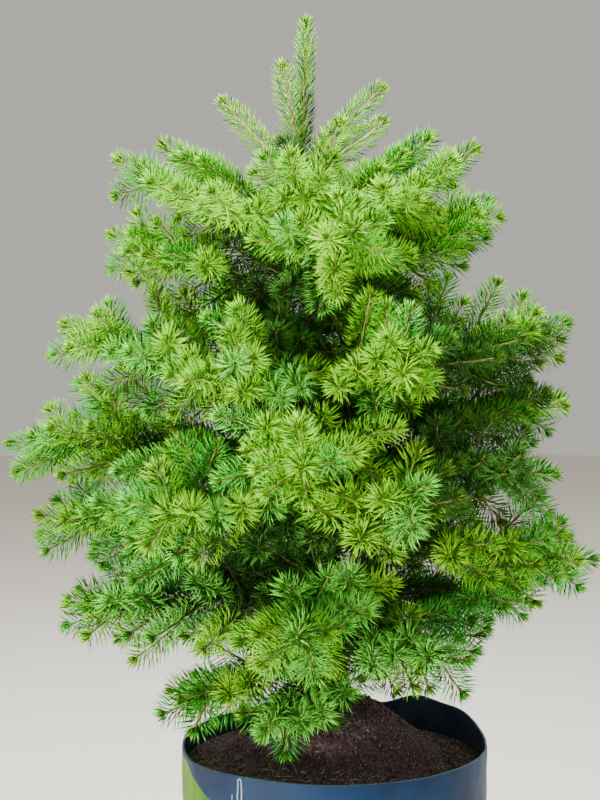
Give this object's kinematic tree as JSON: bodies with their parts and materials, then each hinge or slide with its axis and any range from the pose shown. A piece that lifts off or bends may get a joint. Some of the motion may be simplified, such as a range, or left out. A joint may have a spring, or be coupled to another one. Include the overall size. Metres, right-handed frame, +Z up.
{
  "type": "potted blue spruce",
  "caption": "Young spruce tree with tiers of needled boughs and an upright leader, growing in a soft round nursery bag filled with compost.",
  "frame": {"origin": "centre of the flat underside of the bag", "axes": "+Z up along the tree, +X to the right and -Y towards the viewer of the side with the bag's welded seam"},
  "size_m": [0.6545, 0.5411, 1.1486],
  "materials": {
    "bag_film": "soft blue-black polyethylene film with a faint sheen",
    "compost": "dark moist potting compost with bark chips",
    "bark": "rough grey-brown spruce bark",
    "needles": "waxy fresh green needles with a faint blue bloom, on cream and brown twigs"
  },
  "bodies": {
    "root": {"bough_a1": "bark", "bough_a2": "bark", "bough_a3": "bark", "bough_a4": "bark", "bough_b1": "bark", "bough_b2": "bark", "bough_b3": "bark", "bough_b4": "bark", "bough_b5": "bark", "bough_c1": "bark", "bough_c2": "bark", "bough_c3": "bark", "bough_c4": "bark", "bough_c5": "bark", "bough_d1": "bark", "bough_d2": "bark", "bough_d3": "bark", "bough_d4": "bark", "bough_d5": "bark", "foliage_a1": "needles", "foliage_a2": "needles", "foliage_a3": "needles", "foliage_a4": "needles", "foliage_b1": "needles", "foliage_b2": "needles", "foliage_b3": "needles", "foliage_b4": "needles", "foliage_b5": "needles", "foliage_c1": "needles", "foliage_c2": "needles", "foliage_c3": "needles", "foliage_c4": "needles", "foliage_c5": "needles", "foliage_d1": "needles", "foliage_d2": "needles", "foliage_d3": "needles", "foliage_d4": "needles", "foliage_d5": "needles", "grow_bag": "bag_film", "leader_shoot": "needles", "lower_foliage_1": "needles", "lower_foliage_2": "needles", "lower_foliage_3": "needles", "lower_foliage_4": "needles", "lower_foliage_5": "needles", "lower_foliage_6": "needles", "lower_foliage_7": "needles", "potting_soil": "compost", "top_shoot_1": "needles", "top_shoot_2": "needles", "top_shoot_3": "needles", "top_shoot_4": "needles", "top_shoot_5": "needles", "trunk": "bark", "upper_foliage_1": "needles", "upper_foliage_2": "needles", "upper_foliage_3": "needles", "upper_foliage_4": "needles", "upper_foliage_5": "needles", "upper_foliage_6": "needles"}
  },
  "joints": []
}
